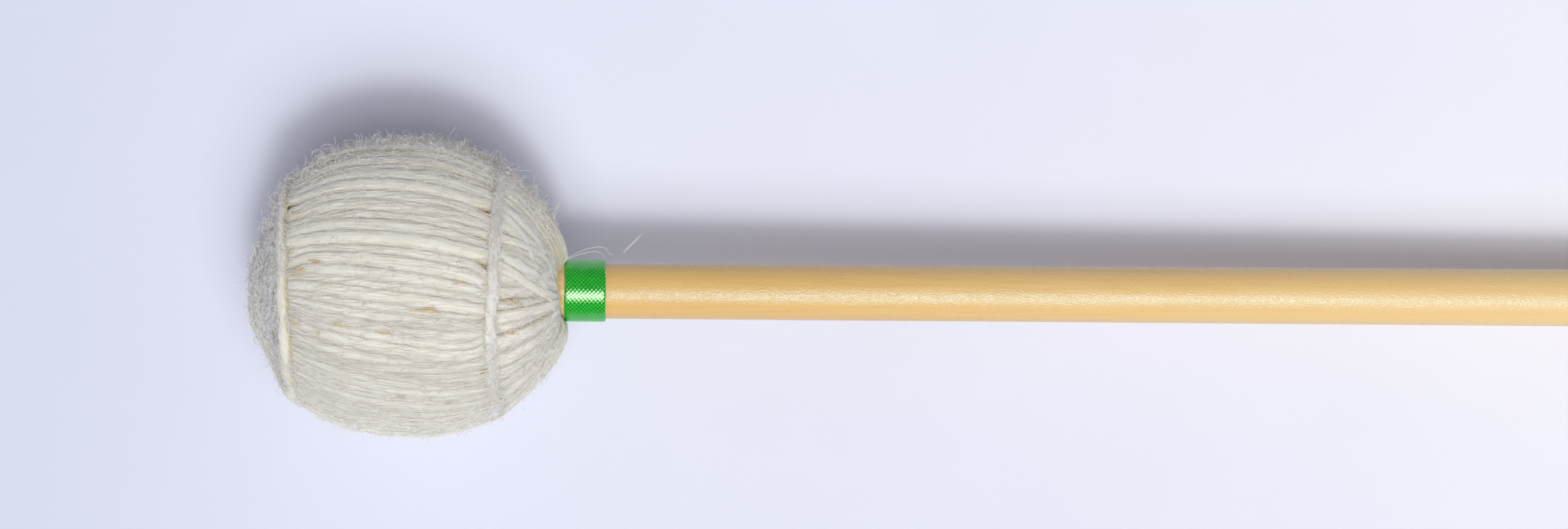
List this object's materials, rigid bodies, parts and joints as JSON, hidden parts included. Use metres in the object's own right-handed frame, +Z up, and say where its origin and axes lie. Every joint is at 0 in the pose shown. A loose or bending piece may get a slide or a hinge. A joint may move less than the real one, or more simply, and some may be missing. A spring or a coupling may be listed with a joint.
{
  "type": "marimba mallet",
  "caption": "Yarn-wound percussion mallet: a round wool head with two binding turns, on a long slim rattan shaft with a ribbon at its neck.",
  "frame": {"origin": "spot on the table under the head where its lowest strands of yarn are pressed flat", "axes": "+Z up from the table; +X level, from under the head towards the butt of the shaft, as the mallet lies at rest"},
  "size_m": [0.3996, 0.0372, 0.0367],
  "materials": {
    "wool": "cream wool yarn, fuzzy",
    "inner_wool": "cream wool yarn",
    "core_rubber": "matte",
    "rattan": "varnished rattan, satin",
    "ribbon": "satin-woven ribbon",
    "glue": "clear amber"
  },
  "bodies": {
    "root": {"shaft": "rattan", "core": "core_rubber", "core_glue": "glue", "starting_hitch": "inner_wool", "yarn_base_layer": "inner_wool", "yarn_cover_layer": "inner_wool", "head_winding": "wool", "tip_winding": "wool", "neck_winding": "wool", "tip_binding": "wool", "neck_binding": "wool", "ribbon_glue": "glue", "ribbon_band": "ribbon"}
  },
  "joints": []
}
